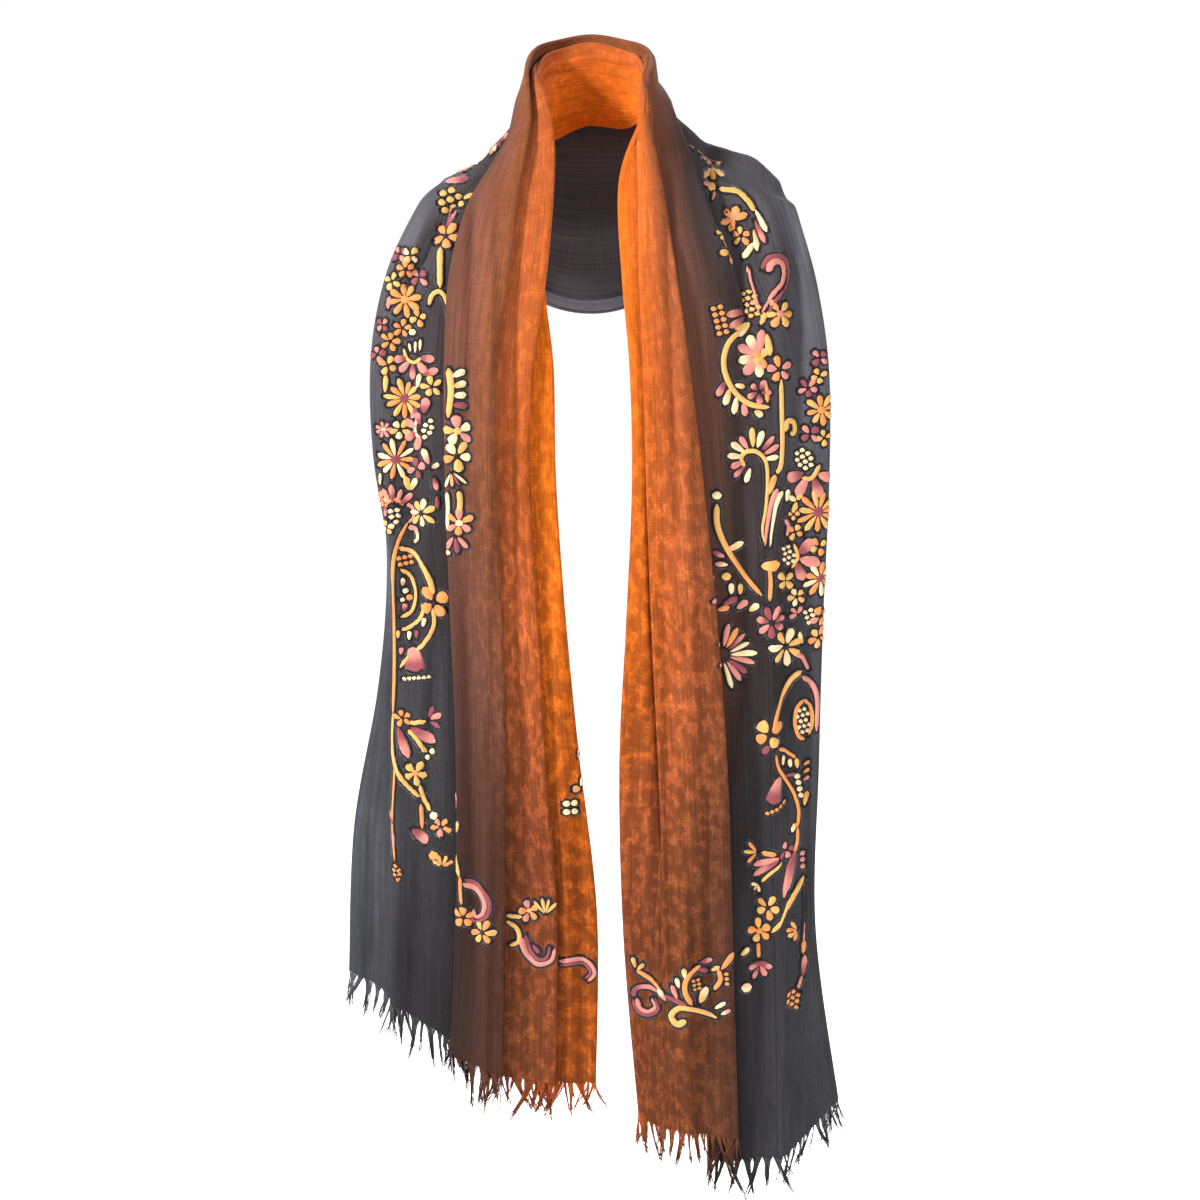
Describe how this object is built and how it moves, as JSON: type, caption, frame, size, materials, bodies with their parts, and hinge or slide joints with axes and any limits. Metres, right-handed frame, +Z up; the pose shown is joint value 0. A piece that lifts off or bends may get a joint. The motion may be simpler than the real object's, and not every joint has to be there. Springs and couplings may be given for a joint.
{
  "type": "embroidered stole",
  "caption": "Long fringed wool stole worn round the neck, folded into soft lengthwise pleats, with both ends hanging down the front.",
  "frame": {"origin": "middle of the nape, where the inner face of the cloth rests on the wearer's neck", "axes": "+Z up, the front of the wearer faces -Y, +X towards the viewer's right"},
  "size_m": [0.4619, 0.2486, 1.092],
  "materials": {
    "orange_wool": "soft woven wool dyed from bright orange to brown",
    "brown_wool": "soft woven wool dyed from burnt orange to charcoal, with floral thread embroidery",
    "grey_fringe": "loose wool yarn"
  },
  "bodies": {
    "root": {"front_left": "orange_wool", "front_right": "brown_wool", "neck_wrap": "brown_wool", "fringe_left": "grey_fringe", "fringe_right": "grey_fringe"}
  },
  "joints": []
}
